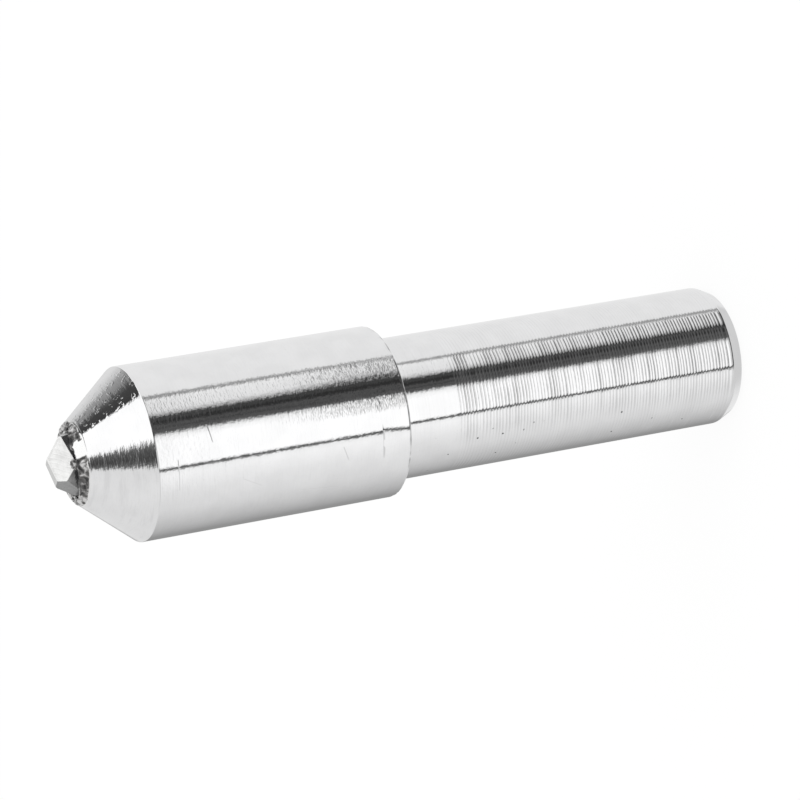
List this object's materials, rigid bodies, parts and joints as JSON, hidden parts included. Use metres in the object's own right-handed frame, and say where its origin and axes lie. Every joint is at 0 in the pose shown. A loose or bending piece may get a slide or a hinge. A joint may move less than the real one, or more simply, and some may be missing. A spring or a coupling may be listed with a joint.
{
  "type": "diamond wheel dresser",
  "caption": "Turned steel dressing tool: a round clamping shank, a thicker head and a ground nose cone with a natural diamond crystal brazed in its tip, for truing grinding wheels",
  "frame": {"origin": "centre of the flat tail face of the shank, which the tool stands on", "axes": "+Z along the tool's axis, from the tail to the diamond; -Y is the side that faces the picture's camera, and +X is up in it"},
  "size_m": [0.012, 0.012, 0.0507],
  "materials": {
    "holder": "bright, finely turned",
    "setting": "silver braze, shiny and lumpy",
    "diamond": "natural crystal, cloudy"
  },
  "bodies": {
    "root": {"holder": "holder", "setting": "setting", "diamond": "diamond"}
  },
  "joints": []
}
